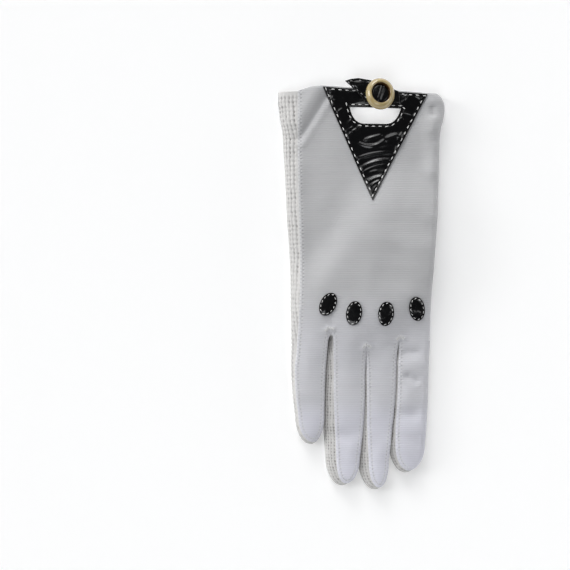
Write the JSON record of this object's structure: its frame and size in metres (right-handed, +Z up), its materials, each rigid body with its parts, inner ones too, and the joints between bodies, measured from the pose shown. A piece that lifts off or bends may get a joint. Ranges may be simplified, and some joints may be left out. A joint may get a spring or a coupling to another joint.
{
  "type": "dress glove",
  "caption": "Wrist length cloth dress glove lying palm down, with a mesh side strip, a patent triangle with a keyhole, a button and knuckle ovals.",
  "frame": {"origin": "middle of the footprint, on the surface that the glove lies on", "axes": "+Y towards the cuff, +X towards the thumb side, +Z up from the palm to the back of the hand"},
  "size_m": [0.0968, 0.2398, 0.0172],
  "materials": {
    "ribbed_cloth": "fine horizontal ribs, matt with a faint sheen",
    "plain_cloth": "smooth stretch knit, matt",
    "eyelet_mesh": "ribbed mesh with small eyelets, matt",
    "black_patent": "glossy patent with fine creases",
    "tan_plastic": "glossy, faintly translucent"
  },
  "bodies": {
    "root": {"back_panel": "ribbed_cloth", "palm_panel": "plain_cloth", "thumb": "plain_cloth", "side_strip": "eyelet_mesh", "fourchette_little_ring": "eyelet_mesh", "fourchette_ring_middle": "eyelet_mesh", "fourchette_middle_index": "eyelet_mesh", "index_side_strip": "eyelet_mesh", "patent_yoke": "black_patent", "strap_tab": "black_patent", "button_ring": "tan_plastic", "button_centre": "black_patent", "knuckle_oval_little": "black_patent", "knuckle_oval_ring": "black_patent", "knuckle_oval_middle": "black_patent", "knuckle_oval_index": "black_patent"}
  },
  "joints": []
}
